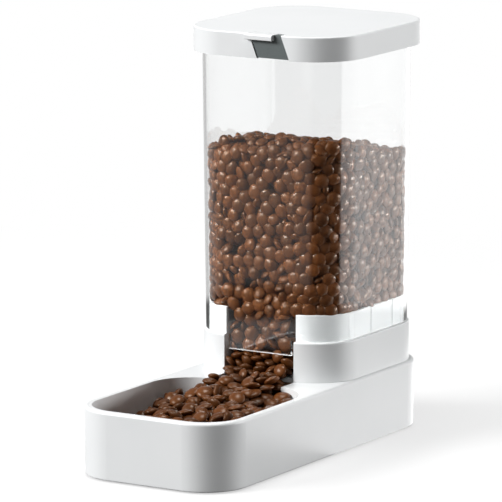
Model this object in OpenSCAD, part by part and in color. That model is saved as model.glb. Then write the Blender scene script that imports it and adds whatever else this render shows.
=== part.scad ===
// Gravity pet feeder: a low base with a bowl, a collar at its rear, a clear hopper that
// stands over the collar's neck, and a hinged lid with a catch.
// Depths are measured from the front face of the base; place() centres the assembly.

/* [Base] */
// Width of the base
base_w = 127; // [116:1:140]
// Length of the base, front to back
base_l = 291; // [285:1:310]
// Height of the deck above the floor
base_h = 50; // [48:1:56]
// Corner radius of the base
base_r = 32.5; // [30:0.5:36]
// Thickness of the base's outer wall
base_wall = 2.2; // [2:0.1:2.3]
// How far the outer wall leans in at its foot
base_draft = 0.4; // [0.2:0.1:0.5]
// Radius of the rim's outer edge
rim_fillet = 2; // [1:0.1:2.4]
// Radius of the base's lower outer edge
foot_fillet = 1.2; // [0.6:0.1:1.6]
// Thickness of the deck
deck_t = 2.4; // [2:0.1:3]

/* [Bowl] */
// Width of the rim around the bowl
rim_w = 5; // [4.9:0.1:7]
// Distance from the front face to the bowl's rear edge
bowl_back = 135; // [125:1:140]
// Radius of the bowl's front corners
bowl_front_r = 27.5; // [24:0.5:30]
// Radius of the bowl's rear corners
bowl_back_r = 32; // [26:0.5:33]
// Thickness of the bowl's wall
bowl_wall = 2; // [1.8:0.1:2.2]
// Height of the bowl's floor above the ground
bowl_floor_z = 10.4; // [9:0.1:14]
// Radius where the bowl's wall meets its floor
bowl_fillet = 6; // [3:0.5:9]
// Width of the channel from the collar to the bowl
channel_w = 60; // [60:1:66]

/* [Collar] */
// Distance from the front face to the collar
collar_front = 153.8; // [150:0.1:158]
// How far the collar stands in from the base's side and rear
collar_inset = 2.2; // [2:0.1:3]
// Corner radius of the collar
collar_r = 34.5; // [32:0.5:36]
// Height of the ledge that the hopper stands on
ledge_z = 79; // [77:0.5:82]
// Thickness of the collar's and neck's walls
collar_wall = 2.4; // [2:0.1:2.8]
// Height of the neck's top edge
neck_top = 98.6; // [97:0.1:104]
// Width of the outlet notch
notch_w = 58; // [56:0.5:58]
// Height of the trough's side walls
trough_z = 86.5; // [84:0.5:88]
// How far the feed ramp's upper end lies below the neck's top
ramp_drop = 5.5; // [4:0.5:12]
// Height of the channel's floor at the bowl
channel_z = 39.5; // [38.5:0.5:41]
// Distance between the grooves on the neck's sides
groove_pitch = 30.5; // [20:0.5:32]

/* [Hopper] */
// How far the hopper stands in from the collar's edge
tank_inset = 1.5; // [1.2:0.1:1.8]
// Wall thickness of the hopper
tank_wall = 2; // [1.6:0.1:2.2]
// How far each side leans out by the lid's lower edge
tank_taper = 2.2; // [0.8:0.1:3]
// Distance from the hopper's top edge to the lid's top
tank_drop = 12; // [11:0.5:13]
// Width of the metering tongue
tongue_w = 52; // [40:1:54]
// Height of the tongue's lower edge
tongue_z = 68.5; // [68.5:0.5:74]

/* [Lid] */
// Overhang of the lid beyond the hopper
lid_over = 5; // [4.9:0.1:6]
// Height of the lid's top above the floor
lid_top = 300; // [270:1:330]
// Height of the lid's skirt
lid_h = 17.7; // [17.4:0.1:18.2]
// Corner radius of the lid
lid_r = 37; // [35:0.5:39]
// Thickness of the lid's skirt and top
lid_wall = 2.4; // [2:0.1:2.5]
// Radius of the lid's top edge
lid_fillet = 1; // [0.4:0.1:1.8]
// Thickness of the liner under the lid
liner_t = 2.2; // [1.8:0.1:2.8]
// Width of the gasket
gasket_w = 2.4; // [1.8:0.1:2.6]
// Width of the rear hinge's middle knuckle
knuckle_w = 26; // [20:1:40]
// Thickness of each hinge ear
ear_t = 6; // [4:0.5:8]
// Diameter of the hinge pin
hinge_pin_d = 3; // [2:0.1:3.4]

/* [Catch] */
// Width of the catch
catch_w = 26.6; // [22:0.2:30]
// Distance of the catch from the middle of the lid
catch_x = 12; // [8:0.5:16]
// How far the catch leans sideways over the lid's height
catch_lean = 7; // [0:0.5:8]
// Thickness of the catch plate
catch_t = 1.7; // [1.4:0.1:1.9]
// Diameter of the catch pin
catch_pin_d = 1.6; // [1.2:0.1:1.8]
// Width of the thumb tab
tab_w = 22.3; // [16:0.5:24]

/* [Feet and screws] */
// Diameter of a rubber foot
foot_d = 12; // [8:0.5:14]
// How far the feet hold the base above the floor
foot_rise = 1; // [0.6:0.1:1.5]
// Diameter of the collar's screws
screw_d = 2.9; // [2.5:0.1:3.4]
// Length of the collar's screws below their heads
screw_l = 12; // [8:1:16]

/* [Food] */
// Empty height above the food in the hopper
fill_drop = 63; // [50:1:100]
// Height of the food in the bowl at the front wall
heap_z = 44; // [38:1:46]
// Steepness of the heap's free side, in degrees
heap_angle = 33; // [28:1:38]

/* [Hidden] */
$fn = 96;

// clearances
seat_gap = 0.1;      // between pieces that rest on each other in one body
tray_gap = 0.15;     // between the tray's edge and the rim
fit_gap = 0.2;       // around a piece that slides in with a little play
move_gap = 0.4;      // between pieces that move past each other
food_gap = 0.3;      // around the food
run_gap = 0.05;      // radial, a pin in a bore that turns on it
press_gap = 0.02;    // radial, a pin in a bore that holds it
eps = 0.01;
lap = 0.5;           // how deep a joined piece reaches into its neighbour
over = 5;            // how far a cut runs past the solid

// base
rim_step = 0.2;      // how far the rim reaches in past the wall
rim_seat = base_wall + base_draft + rim_step;
ledge_w = 1.8;       // width of the ledge that carries the tray
ledge_depth = 2.4;
ledge_rake = 2;      // height of the slope under the ledge
ledge_start = 18;    // the ledge starts this far before the bowl's rear edge
deck_z = base_h - deck_t;
front_extra = 0.2;   // the rim is this much wider at the front
bowl_front = rim_w + front_extra;
bowl_w = base_w - 2 * rim_w;
bowl_l = bowl_back - bowl_front;
bowl_mid = (bowl_back + bowl_front) / 2;
rib_t = 2.4;
pad_r = foot_d / 2 + rib_t;
pad_in = 19;
pad_top = bowl_floor_z - bowl_wall - seat_gap;   // the bowl rests on the front pads
fillet_lap = 0.5;
foot_sink = 1.6;
foot_bevel = 0.6;

// collar
collar_w = base_w - 2 * collar_inset;
collar_back = base_l - collar_inset;
collar_l = collar_back - collar_front;
mid_y = (collar_front + collar_back) / 2;
neck_in = tank_inset + tank_wall + move_gap;
ledge_t = 2.6;
panel_t = 2.2;
ledge_round = 1.2;
neck_round = 0.8;
groove_w = 1;
groove_depth = 0.6;
groove_count = 3;
groove_back = 8.3;   // how far the middle groove lies before the collar's middle
groove_y = mid_y - groove_back;
trough_x = notch_w / 2;
panel_rise = 10.5;   // rise of the panels beside the trough
panel_end = 1;       // the panels end this far below the neck's top
boss_r = 4;
boss_x = 44.5;
boss_reach = 4;
boss_front = 28;     // the front screws' distance behind the collar's front
boss_rear = 27;      // the rear screws' distance before its back
boss_ys = [collar_front + boss_front, collar_back - boss_rear];
head_r = 2.8;
head_h = 2;
slot_w = 0.8;
slot_d = 0.8;
hole_extra = 2;      // depth of a screw's hole past its point

// ramp
ramp_end = collar_back - neck_in - collar_wall - fit_gap;
ramp_slope = (neck_top - ramp_drop - channel_z) / (ramp_end - bowl_back);
ramp_t = 2.4;
ramp_lip = 0.6;

// hopper
lid_z = lid_top - lid_h;
tank_top = lid_top - tank_drop;
fill_z = tank_top - fill_drop;
tank_w = collar_w - 2 * tank_inset;
tank_l = collar_l - 2 * tank_inset;
tank_r = collar_r - tank_inset;
tank_z = ledge_z + food_gap;
lean = tank_taper / (lid_z - tank_z);
top_out = lean * (tank_top - tank_z);
tank_front = collar_front + tank_inset;
tongue_keep = 1;

// ring on the hopper's top edge
rim_gap = 0.15;
rim_lip = 4;
rim_lip_z = tank_top - rim_lip;
rim_web_t = 2.8;
rim_web_z = tank_top + rim_gap;
rim_top = rim_web_z + rim_web_t;
rim_flange_t = 1.4;
rim_in = 1.6;

// lid
lid_w = tank_w + 2 * tank_taper + 2 * lid_over;
lid_l = tank_l + 2 * tank_taper + 2 * lid_over;
lid_front = mid_y - lid_l / 2;
lid_back = mid_y + lid_l / 2;
lid_under = lid_top - lid_wall;
liner_in = 5.8;
gasket_z = rim_top + fit_gap;
liner_top = lid_under - fit_gap;
gasket_h = 3;
liner_bead_z = gasket_z + gasket_h;

// hinge
hinge_out = 0.5;     // the hinge's axis lies this far behind the lid
hinge_up = 1.2;      // and this far above the lid's lower edge
hinge_y = lid_back + hinge_out;
hinge_z = lid_z + hinge_up;
knuckle_t = 1.7;
knuckle_r = hinge_pin_d / 2 + knuckle_t;
ear_x = knuckle_w / 2 + 2 * move_gap;
ear_room = 8;        // height of the slot for an ear, above the hinge
slot_top = hinge_z + ear_room;
overall_l = hinge_y + knuckle_r;

// catch
catch_in = 0.9;      // the plate lies this far behind the lid's face
catch_lift = 0.6;    // and this far above the lid's lower edge
catch_y = lid_front + catch_in;
pin_back = 3.7;
pin_down = 3.6;
pin_short = 0.2;     // the pin ends this far inside its ears
pin_y = lid_front + pin_back;
pin_z = lid_top - pin_down;
barrel_t = 0.9;
barrel_r = catch_pin_d / 2 + barrel_t;
barrel_in = 1.2;
side_gap = 0.45;
fold_back = 5.3;
fold_t = 1.2;
fold_room = 1.3;     // room behind the fold for its swing
bead_w = 18;
bead_h = 1.5;
bead_out = 0.3;
bead_z = lid_z + 2.7;
ear_w = 3;
tab_side = 1.6;      // the tab starts this far left of the plate
tab_over = 4.2;      // width of the part that passes in front of the lid
tab_clear = 1.1;     // its distance from the lid's face
tab_reach = 4.1;
tab_h = 4.2;
tab_slope = 1.2;
tab_edge = 0.4;

// food
outlet_clear = 4.9;   // free height under the tongue
crest_bend = 2.6;
crest_near = 14;      // crest's distance to the left of the middle, at the front wall
crest_far = 23;       // and at the bowl's rear
heap_edge = 2;        // thickness of the heap at its left edge
fill_shape = [[-over, 9], [22, 0], [45, 7], [111.5, 21], [138, 22]];  // depth, drop
heap_rows = 10;
heap_cols = 10;
heap_end = tank_front + tank_wall + food_gap;

// ---------- outlines and sweeps ----------

// a rounded rectangle about the origin, with its own front and rear radii
module outline(w, l, front_r, back_r) {
  translate([-w / 2, -l / 2 + front_r]) square([w, l - front_r - back_r]);
  translate([-w / 2 + front_r, -l / 2]) square([w - 2 * front_r, front_r + eps]);
  translate([-w / 2 + back_r, l / 2 - back_r - eps]) square([w - 2 * back_r, back_r + eps]);
  for (side = [-1, 1]) {
    translate([side * (w / 2 - front_r), -l / 2 + front_r]) circle(front_r);
    translate([side * (w / 2 - back_r), l / 2 - back_r]) circle(back_r);
  }
}

// a plate with that outline, moved in from the outline by an inset
module plate(w, l, front_r, back_r, inset, y, z0, z1) {
  translate([0, y, z0])
    linear_extrude(z1 - z0)
      outline(w - 2 * inset, l - 2 * inset, front_r - inset, back_r - inset);
}

// sweeps a wall section around the outline: x = 0 is the outline and +x is outwards
module sweep_round(w, l, front_r, back_r, y) {
  translate([0, y, 0]) {
    for (side = [0, 1])
      mirror([side, 0, 0]) {
        translate([w / 2 - back_r, l / 2 - back_r, 0])
          rotate_extrude(angle = 90) translate([back_r, 0]) children();
        translate([w / 2 - front_r, -l / 2 + front_r, 0])
          rotate([0, 0, -90]) rotate_extrude(angle = 90) translate([front_r, 0]) children();
        translate([w / 2, l / 2 - back_r, 0])
          rotate([90, 0, 0]) linear_extrude(l - front_r - back_r) children();
      }
    translate([-w / 2 + back_r, l / 2, 0])
      rotate([90, 0, 90]) linear_extrude(w - 2 * back_r) children();
    mirror([0, 1, 0])
      translate([-w / 2 + front_r, l / 2, 0])
        rotate([90, 0, 90]) linear_extrude(w - 2 * front_r) children();
  }
}

// what is cut off an outer corner at [x, z] to round it
module corner_cut(x, z, r) {
  translate([x - r, z - r])
    difference() {
      square([r + over, r + over]);
      circle(r);
    }
}

// a prism across the width, drawn in depth and height
module across(x0, x1) {
  translate([x0, 0, 0]) rotate([90, 0, 90]) linear_extrude(x1 - x0) children();
}

// a cylinder along the width
module rod(y, z, r, x0, x1) {
  translate([x0, y, z]) rotate([0, 90, 0]) cylinder(r = r, h = x1 - x0);
}

// puts the origin under the middle of the assembly
module place() {
  translate([0, -overall_l / 2, 0]) children();
}

// ---------- base ----------

foot_spots = [[-1, pad_in], [1, pad_in], [-1, base_l - pad_in], [1, base_l - pad_in]];

module shell_section() {
  inner = -base_wall - base_draft;
  difference() {
    polygon([
      [-base_draft, foot_rise], [-base_draft, foot_rise + foot_fillet],
      [0, base_h - rim_fillet], [0, base_h], [-rim_seat, base_h],
      [-rim_seat, deck_z - ledge_depth], [inner, deck_z - ledge_depth - rim_step],
      [inner, foot_rise]
    ]);
    corner_cut(0, base_h, rim_fillet);
    translate([-base_draft, foot_rise]) mirror([0, 1]) corner_cut(0, 0, foot_fillet);
  }
}

// the ledge inside the wall, under the tray's edge
module ledge_section() {
  polygon([
    [-rim_seat + lap, deck_z - seat_gap], [-rim_seat - ledge_w, deck_z - seat_gap],
    [-rim_seat - ledge_w, deck_z - ledge_depth],
    [-rim_seat + lap, deck_z - ledge_depth - ledge_rake]
  ]);
}

// a pad with two ribs to the wall, for one foot
module foot_pad(side, y) {
  x = side * (base_w / 2 - pad_in);
  far = y < base_l / 2 ? -pad_in : 0;
  translate([x, y, 0]) {
    cylinder(r = pad_r, h = pad_top);
    translate([side < 0 ? -pad_in : 0, -rib_t / 2, 0]) cube([pad_in, rib_t, pad_top]);
    translate([-rib_t / 2, far, 0]) cube([rib_t, pad_in, pad_top]);
  }
}

module base_shell() {
  color("white") place() {
    difference() {
      union() {
        sweep_round(base_w, base_l, base_r, base_r, base_l / 2) shell_section();
        intersection() {
          sweep_round(base_w, base_l, base_r, base_r, base_l / 2) ledge_section();
          translate([-base_w, bowl_back - ledge_start, 0]) cube([2 * base_w, base_l, base_h]);
        }
        intersection() {
          plate(base_w, base_l, base_r, base_r, base_draft + base_wall / 2, base_l / 2,
                foot_rise, pad_top);
          for (spot = foot_spots) foot_pad(spot[0], spot[1]);
        }
      }
      for (spot = foot_spots)
        translate([spot[0] * (base_w / 2 - pad_in), spot[1], 0])
          cylinder(r = foot_d / 2 + seat_gap, h = foot_rise + foot_sink + seat_gap);
    }
  }
}

module foot(i) {
  spot = foot_spots[i];
  color("dimgray") place()
    translate([spot[0] * (base_w / 2 - pad_in), spot[1], 0]) {
      cylinder(r1 = foot_d / 2 - foot_bevel, r2 = foot_d / 2, h = foot_bevel);
      translate([0, 0, foot_bevel])
        cylinder(r = foot_d / 2, h = foot_rise + foot_sink - foot_bevel);
    }
}

module foot_front_left() { foot(0); }
module foot_front_right() { foot(1); }
module foot_rear_left() { foot(2); }
module foot_rear_right() { foot(3); }

// height of the sloped floor that the food runs down
function slope_z(y) = channel_z + (y - bowl_back) * ramp_slope;
function slope_y(z) = bowl_back + (z - channel_z) / ramp_slope;

module bowl_plate(inset, z0, z1) {
  plate(bowl_w, bowl_l, bowl_front_r, bowl_back_r, inset, bowl_mid, z0, z1);
}

module top_tray() {
  color("white") place() {
    difference() {
      union() {
        plate(base_w, base_l, base_r, base_r, rim_seat + tray_gap, base_l / 2, deck_z, base_h);
        bowl_plate(-bowl_wall, bowl_floor_z - bowl_wall, deck_z + eps);
        across(-channel_w / 2 - bowl_wall, channel_w / 2 + bowl_wall)
          polygon([
            [bowl_back + lap, slope_z(bowl_back + lap) - ramp_t],
            [slope_y(deck_z + ramp_t), deck_z], [slope_y(deck_z + ramp_t), deck_z + lap],
            [bowl_back + lap, deck_z + lap]
          ]);
      }
      bowl_plate(0, bowl_floor_z, base_h + over);
      across(-channel_w / 2, channel_w / 2)
        polygon([
          [bowl_back - over, slope_z(bowl_back - over)],
          [slope_y(base_h + over), base_h + over], [bowl_back - over, base_h + over]
        ]);
      for (side = [-1, 1], y = boss_ys)
        translate([side * boss_x, y, deck_z - over])
          cylinder(d = screw_d + 2 * fit_gap, h = deck_t + 2 * over);
    }
    sweep_round(bowl_w, bowl_l, bowl_front_r, bowl_back_r, bowl_mid)
      difference() {
        translate([-bowl_fillet, bowl_floor_z - fillet_lap])
          square([bowl_fillet + fillet_lap, bowl_fillet + fillet_lap]);
        translate([-bowl_fillet, bowl_floor_z + bowl_fillet]) circle(bowl_fillet);
      }
  }
}

// ---------- collar ----------

module collar_plate(inset, z0, z1) {
  plate(collar_w, collar_l, collar_r, collar_r, inset, mid_y, z0, z1);
}

module collar_section() {
  foot_z = base_h + seat_gap;
  difference() {
    polygon([
      [0, foot_z], [0, ledge_z], [-neck_in, ledge_z], [-neck_in, neck_top],
      [-neck_in - collar_wall, neck_top], [-neck_in - collar_wall, ledge_z - ledge_t],
      [-collar_wall, ledge_z - ledge_t], [-collar_wall, foot_z]
    ]);
    corner_cut(0, ledge_z, ledge_round);
    corner_cut(-neck_in, neck_top, neck_round);
  }
}

// one side wall of the trough with the panel that leads the food into it
module trough_side() {
  wall_out = trough_x + collar_wall;
  reach = collar_w / 2;
  grade = panel_rise / (collar_w / 2 - neck_in - trough_x);
  translate([0, collar_back, 0]) rotate([90, 0, 0]) linear_extrude(collar_l)
    polygon([
      [trough_x, base_h + seat_gap], [trough_x, trough_z],
      [reach, trough_z + grade * (reach - trough_x)],
      [reach, trough_z + grade * (reach - trough_x) - panel_t],
      [wall_out, trough_z + grade * (wall_out - trough_x) - panel_t],
      [wall_out, base_h + seat_gap]
    ]);
}

module hopper_socket() {
  color("white") place() {
    difference() {
      union() {
        sweep_round(collar_w, collar_l, collar_r, collar_r, mid_y) collar_section();
        intersection() {
          for (side = [0, 1]) mirror([side, 0, 0]) trough_side();
          union() {
            collar_plate(collar_wall / 2, base_h, ledge_z - ledge_t / 2);
            collar_plate(neck_in + collar_wall / 2, base_h, neck_top - panel_end);
          }
        }
        for (side = [-1, 1], y = boss_ys)
          translate([side * boss_x, y, base_h + seat_gap])
            cylinder(r = boss_r, h = trough_z + boss_reach - base_h - seat_gap);
      }
      translate([-trough_x, collar_front - over, base_h - over])
        cube([notch_w, neck_in + collar_wall + 2 * over, neck_top]);
      for (side = [-1, 1], i = [0 : groove_count - 1])
        translate([side * (collar_w / 2 - neck_in) - groove_depth,
                   groove_y + (i - 1) * groove_pitch - groove_w / 2, ledge_z + eps])
          cube([2 * groove_depth, groove_w, neck_top]);
      for (side = [-1, 1], y = boss_ys)
        translate([side * boss_x, y, base_h - over])
          cylinder(d = screw_d + 2 * run_gap, h = over + screw_l + hole_extra);
    }
  }
}

module feed_ramp() {
  start = slope_y(base_h + ramp_lip);
  foot_z = base_h + seat_gap;
  color("white") place()
    across(-trough_x + fit_gap, trough_x - fit_gap)
      polygon([
        [start, foot_z], [start, base_h + ramp_lip], [ramp_end, slope_z(ramp_end)],
        [ramp_end, foot_z], [ramp_end - ramp_t, foot_z],
        [ramp_end - ramp_t, slope_z(ramp_end - ramp_t) - ramp_t],
        [slope_y(foot_z + ramp_t), foot_z]
      ]);
}

module socket_screws() {
  color("silver") place()
    for (side = [-1, 1], y = boss_ys)
      translate([side * boss_x, y, deck_z - seat_gap]) {
        translate([0, 0, -head_h])
          difference() {
            cylinder(r = head_r, h = head_h);
            translate([-head_r, -slot_w / 2, -eps]) cube([2 * head_r, slot_w, slot_d]);
            translate([-slot_w / 2, -head_r, -eps]) cube([slot_w, 2 * head_r, slot_d]);
          }
        translate([0, 0, -eps]) cylinder(d = screw_d, h = screw_l);
      }
}

// ---------- hopper ----------

function tank_out(z) = lean * (z - tank_z);

module tank_section() {
  polygon([
    [tank_out(tongue_z), tongue_z], [top_out, tank_top], [top_out - tank_wall, tank_top],
    [tank_out(tongue_z) - tank_wall, tongue_z]
  ]);
}

module tank() {
  color("azure", 0.4) place()
    difference() {
      sweep_round(tank_w, tank_l, tank_r, tank_r, mid_y) tank_section();
      translate([-tank_w, tank_front + tank_wall + tongue_keep, tongue_z - over])
        cube([2 * tank_w, 2 * tank_l, tank_z - tongue_z + over]);
      for (side = [0, 1]) mirror([side, 0, 0])
        translate([tongue_w / 2, tank_front - over, tongue_z - over])
          cube([tank_w, 2 * over + tank_wall, tank_z - tongue_z + over]);
    }
}

module tank_rim_section() {
  outer = rim_gap + rim_flange_t;
  inner = -tank_wall - rim_in;
  polygon([
    [rim_gap, rim_lip_z], [outer, rim_lip_z], [outer, rim_top], [inner, rim_top],
    [inner, rim_lip_z], [-tank_wall - fit_gap, rim_lip_z], [-tank_wall - fit_gap, rim_web_z],
    [rim_gap, rim_web_z]
  ]);
}

module tank_rim() {
  flange_y = mid_y + tank_l / 2 + top_out + rim_flange_t / 2;
  color("white") place()
    difference() {
      union() {
        sweep_round(tank_w + 2 * top_out, tank_l + 2 * top_out, tank_r + top_out,
                    tank_r + top_out, mid_y)
          tank_rim_section();
        for (side = [0, 1]) mirror([side, 0, 0]) {
          rod(hinge_y, hinge_z, knuckle_r, ear_x, ear_x + ear_t);
          translate([ear_x, flange_y, rim_lip_z + fit_gap])
            cube([ear_t, hinge_y - flange_y, hinge_z + knuckle_r - rim_lip_z - fit_gap]);
        }
      }
      rod(hinge_y, hinge_z, hinge_pin_d / 2 + press_gap, -lid_w / 2, lid_w / 2);
    }
}

module hinge_pin() {
  color("silver") place()
    rod(hinge_y, hinge_z, hinge_pin_d / 2, -ear_x - ear_t, ear_x + ear_t);
}

// ---------- lid ----------

module lid_plate(inset, z0, z1) {
  plate(lid_w, lid_l, lid_r, lid_r, inset, mid_y, z0, z1);
}

module skirt_section() {
  difference() {
    translate([-lid_wall, lid_z]) square([lid_wall, lid_top - lid_z]);
    corner_cut(0, lid_top, lid_fillet);
  }
}

// sideways lean of the catch at a height, from its middle
function catch_shift(z) = catch_x - catch_lean * ((z - lid_z) / (lid_top - lid_z) - 0.5);

// the slanted outline of the notch, or of the plate in it, from one height to another
module slanted(gap, z0, z1, y0, y1) {
  half = catch_w / 2 - gap;
  translate([0, y1, 0]) rotate([90, 0, 0]) linear_extrude(y1 - y0)
    polygon([
      [catch_shift(z0) - half, z0], [catch_shift(z0) + half, z0],
      [catch_shift(z1) + half, z1], [catch_shift(z1) - half, z1]
    ]);
}

function catch_left(z) = catch_shift(z) - catch_w / 2;
function catch_right(z) = catch_shift(z) + catch_w / 2;

// the ears that hold the catch's pin, beside the notch
ear_x0 = catch_left(lid_top) - ear_w;
ear_x1 = catch_right(pin_z - barrel_r) + side_gap;

module lid_shell() {
  boss_z = pin_z - barrel_r;
  color("white") place()
    difference() {
      union() {
        sweep_round(lid_w, lid_l, lid_r, lid_r, mid_y) skirt_section();
        lid_plate(lid_wall / 2, lid_under, lid_top);
        rod(hinge_y, hinge_z, knuckle_r, -knuckle_w / 2, knuckle_w / 2);
        for (x = [ear_x0, ear_x1])
          translate([x, lid_front + lid_wall - lap, boss_z])
            cube([ear_w, pin_y + barrel_r - lid_front - lid_wall + lap, lid_under + lap - boss_z]);
      }
      slanted(0, lid_z - lap, lid_top + lap, lid_front - over, catch_y + fold_back + fold_room);
      rod(pin_y, pin_z, catch_pin_d / 2 + press_gap, ear_x0 - lap, ear_x1 + ear_w + lap);
      rod(hinge_y, hinge_z, hinge_pin_d / 2 + run_gap, -lid_w / 2, lid_w / 2);
      for (side = [0, 1]) mirror([side, 0, 0])
        translate([ear_x - move_gap, lid_back - lid_wall - lap, lid_z - over])
          cube([ear_t + 2 * move_gap, lid_wall + over, slot_top - lid_z + over]);
    }
}

module lid_liner() {
  color("whitesmoke") place() {
    lid_plate(liner_in, liner_top - liner_t, liner_top);
    difference() {
      lid_plate(liner_in, liner_bead_z, liner_top - liner_t + eps);
      lid_plate(liner_in + gasket_w, liner_bead_z - over, liner_top);
    }
  }
}

module lid_gasket() {
  color("lightgray") place()
    difference() {
      lid_plate(liner_in, gasket_z, liner_bead_z - seat_gap);
      lid_plate(liner_in + gasket_w, gasket_z - over, lid_top);
    }
}

module catch_pin() {
  color("silver") place()
    rod(pin_y, pin_z, catch_pin_d / 2, ear_x0 + pin_short, ear_x1 + ear_w - pin_short);
}

// ---------- catch ----------

tab_left = catch_left(lid_top) - tab_side;
tab_right = tab_left + tab_w;
fold_z = lid_top - fold_t;

// the catch's top, folded back over its pin, between two places across
module fold(x0, x1, front) {
  intersection() {
    slanted(side_gap, fold_z, lid_top, front, catch_y + fold_back);
    translate([x0, front, fold_z]) cube([x1 - x0, catch_y + fold_back - front, fold_t]);
  }
}

module lid_catch() {
  plate_z = lid_z + catch_lift;
  color("dimgray") place()
    difference() {
      union() {
        slanted(side_gap, plate_z, fold_z - seat_gap, catch_y, catch_y + catch_t);
        fold(tab_right + seat_gap, tab_right + catch_w, catch_y);
        translate([tab_right + seat_gap, catch_y, fold_z - lap])
          cube([catch_right(lid_top) - side_gap - tab_right - lap, catch_t, 2 * lap]);
        rod(pin_y, pin_z, barrel_r, catch_left(pin_z) + barrel_in, catch_right(pin_z) - barrel_in);
        translate([catch_shift(bead_z) - bead_w / 2, catch_y + catch_t - eps, bead_z])
          cube([bead_w, bead_out + eps, bead_h]);
      }
      rod(pin_y, pin_z, catch_pin_d / 2 + run_gap, -lid_w / 2, lid_w / 2);
    }
}

// the thumb bar in front of the plate
module tab_section() {
  back = catch_y - seat_gap;
  front = back - tab_reach;
  polygon([
    [back, lid_top], [front + tab_slope, lid_top], [front, lid_top - tab_slope],
    [front, lid_top - tab_h + tab_edge], [front + tab_edge, lid_top - tab_h],
    [back, lid_top - tab_h]
  ]);
}

module catch_tab() {
  color("white") place() {
    difference() {
      across(tab_left, tab_right) tab_section();
      translate([tab_left - over, lid_front - tab_clear, lid_z])
        cube([over + tab_over, over, lid_top]);
    }
    fold(tab_left, tab_right, catch_y - seat_gap - lap);
  }
}

// ---------- food ----------

module kibble_hopper() {
  color("saddlebrown") place()
    intersection() {
      plate(tank_w, tank_l, tank_r, tank_r, tank_wall + food_gap, mid_y,
            neck_top + 2 * food_gap, fill_z + over);
      across(-tank_w, tank_w)
        polygon(concat(
          [for (step = fill_shape) [tank_front + step[0], fill_z - step[1]]],
          [[collar_back + over, neck_top], [tank_front - over, neck_top]]
        ));
    }
}

module kibble_feed() {
  front = heap_end + food_gap;
  color("saddlebrown") place()
    across(-trough_x + food_gap, trough_x - food_gap)
      polygon([
        [front, slope_z(front) + food_gap + ramp_lip], [front, neck_top + food_gap / 2],
        [ramp_end - food_gap, neck_top + food_gap / 2],
        [ramp_end - food_gap, slope_z(ramp_end) + food_gap + ramp_lip]
      ]);
}

// the heap's crest rises towards the outlet, and its left side falls at the heap's angle
function crest_z(y) = heap_z + (tongue_z - outlet_clear - heap_z)
                      * pow(max(0, y - bowl_front) / (heap_end - bowl_front), crest_bend);
function crest_x(y) = -crest_near - (crest_far - crest_near) * min(1, (y - bowl_front) / bowl_l);
function heap_low() = bowl_floor_z + food_gap;
function heap_left(y) = crest_x(y) - (crest_z(y) - heap_low() - heap_edge) / tan(heap_angle);
function heap_x(y, t) = heap_left(y) + (base_w / 2 - heap_left(y)) * t;
function heap_top(x, y) = crest_z(y) - tan(heap_angle) * max(0, crest_x(y) - x);

module heap() {
  rows = [for (i = [0 : heap_rows]) bowl_front + (heap_end - bowl_front) * i / heap_rows];
  cols = [for (j = [0 : heap_cols]) j / heap_cols];
  n = heap_cols + 1;
  size = (heap_rows + 1) * n;
  tops = [for (y = rows, t = cols) [heap_x(y, t), y, heap_top(heap_x(y, t), y)]];
  bases = [for (y = rows, t = cols) [heap_x(y, t), y, heap_low()]];
  skin = [for (i = [0 : heap_rows - 1], j = [0 : heap_cols - 1], half = [0, 1])
    let (a = i * n + j)
    half == 0 ? [a, a + n, a + 1] : [a + 1, a + n, a + n + 1]];
  under = [for (f = skin) [f[0] + size, f[2] + size, f[1] + size]];
  rim = concat(
    [for (j = [0 : n - 1]) j],
    [for (i = [1 : heap_rows]) i * n + n - 1],
    [for (j = [n - 2 : -1 : 0]) heap_rows * n + j],
    [for (i = [heap_rows - 1 : -1 : 1]) i * n]
  );
  wall = [for (k = [0 : len(rim) - 1])
    let (a = rim[k], b = rim[(k + 1) % len(rim)])
    [a, b, b + size, a + size]];
  polyhedron(concat(tops, bases), concat(skin, under, wall));
}

module kibble_bowl() {
  color("saddlebrown") place()
    intersection() {
      heap();
      union() {
        bowl_plate(bowl_fillet + food_gap, heap_low(), bowl_floor_z + bowl_fillet + 1);
        bowl_plate(food_gap, bowl_floor_z + bowl_fillet + food_gap, base_h + over);
        across(-trough_x + food_gap, trough_x - food_gap)
          polygon([
            [bowl_back - over, slope_z(bowl_back) + food_gap],
            [bowl_back, slope_z(bowl_back) + food_gap],
            [heap_end, slope_z(heap_end) + food_gap], [heap_end, ledge_z],
            [bowl_back - over, ledge_z]
          ]);
      }
    }
}

base_shell();
top_tray();
hopper_socket();
feed_ramp();
socket_screws();
foot_front_left();
foot_front_right();
foot_rear_left();
foot_rear_right();
tank();
tank_rim();
hinge_pin();
lid_shell();
lid_liner();
lid_gasket();
catch_pin();
lid_catch();
catch_tab();
kibble_hopper();
kibble_feed();
kibble_bowl();
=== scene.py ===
"""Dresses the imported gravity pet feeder: materials, loose dry food, studio and camera."""
import math

import bpy
import numpy as np
from mathutils import Matrix, Vector

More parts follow.
